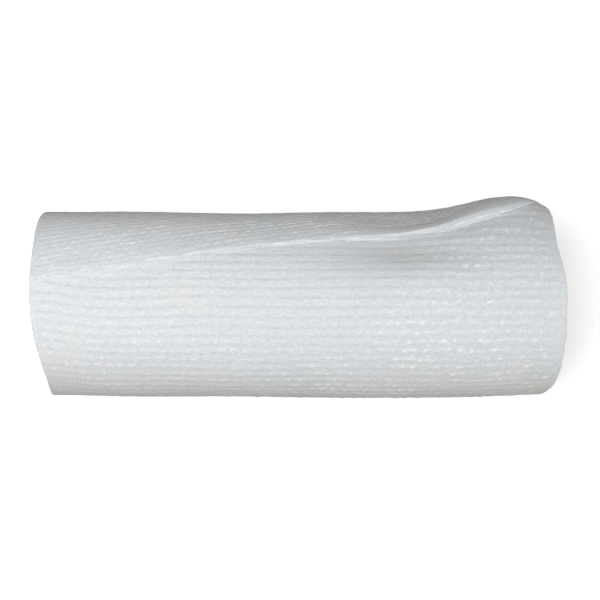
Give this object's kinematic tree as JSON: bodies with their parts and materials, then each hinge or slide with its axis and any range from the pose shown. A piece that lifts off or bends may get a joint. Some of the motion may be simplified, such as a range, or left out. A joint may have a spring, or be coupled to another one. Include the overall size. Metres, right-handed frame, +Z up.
{
  "type": "elastic bandage roll",
  "caption": "Roll of white elastic crepe bandage lying on its side, its outer turn folded along a slanting line.",
  "frame": {"origin": "on the surface that the roll lies on, under the middle of the roll", "axes": "+X along the roll, towards the end where the fold stands up sharply; +Y towards the back of the roll; +Z up"},
  "size_m": [0.15, 0.0608, 0.0541],
  "materials": {
    "crepe": "matt, crimped white elastic crepe with cross ribs"
  },
  "bodies": {
    "root": {"bandage_roll": "crepe"}
  },
  "joints": []
}
